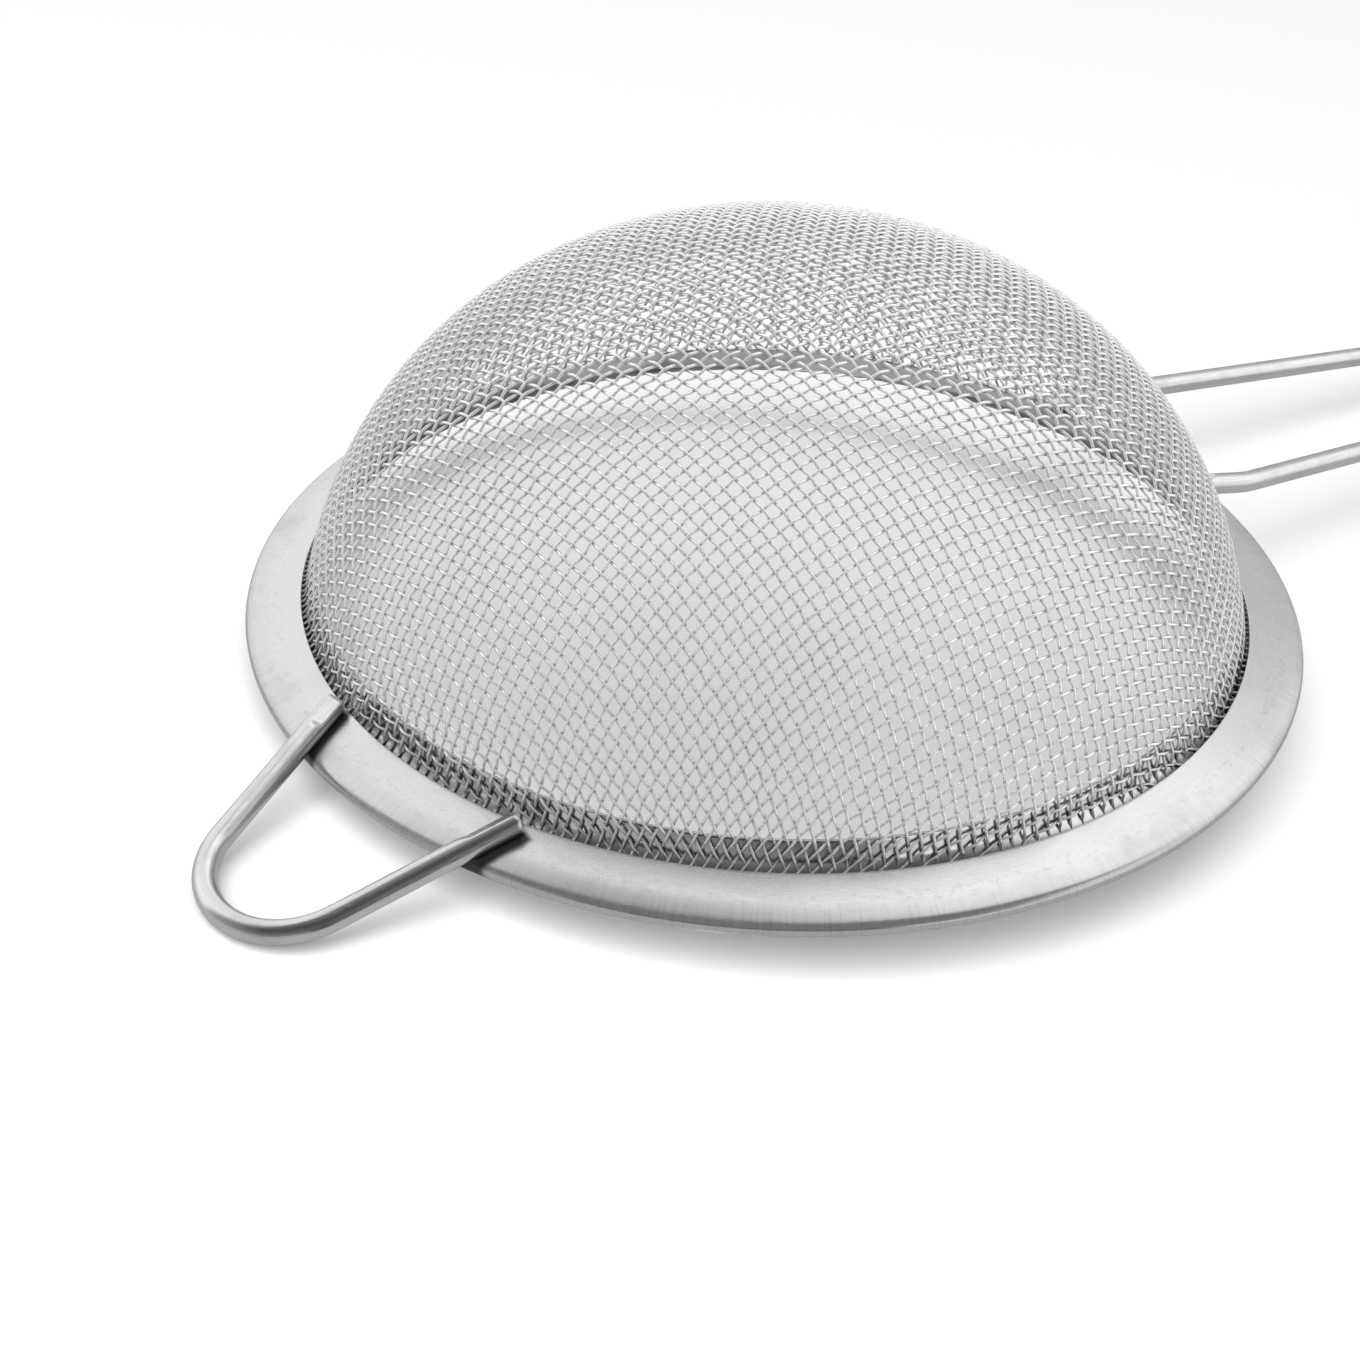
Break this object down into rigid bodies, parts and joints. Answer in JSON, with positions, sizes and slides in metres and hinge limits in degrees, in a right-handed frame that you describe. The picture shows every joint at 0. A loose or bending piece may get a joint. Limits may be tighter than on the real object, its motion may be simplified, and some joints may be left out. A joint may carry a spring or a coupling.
{
  "type": "tea strainer",
  "caption": "Round wire-mesh tea strainer: woven bowl pinched in a folded sheet rim, with a short rest loop on one side and a long bent-wire handle on the other.",
  "frame": {"origin": "on the bowl's axis, in the plane of the flat pressed on the rim's edge", "axes": "+Z from the rim towards the bowl's crown, so the strainer lies bowl up; +X along the handle, away from the bowl"},
  "size_m": [0.1954, 0.084, 0.0452],
  "materials": {
    "woven_cloth": "bright drawn stainless wire, plain weave",
    "rim_sheet": "pressed stainless sheet, satin with fine turning marks",
    "bent_wire": "polished stainless wire"
  },
  "bodies": {
    "root": {"mesh_bowl": "woven_cloth", "flange_ring": "rim_sheet", "collar_ring": "rim_sheet", "rest_loop": "bent_wire", "handle_wire": "bent_wire"}
  },
  "joints": []
}
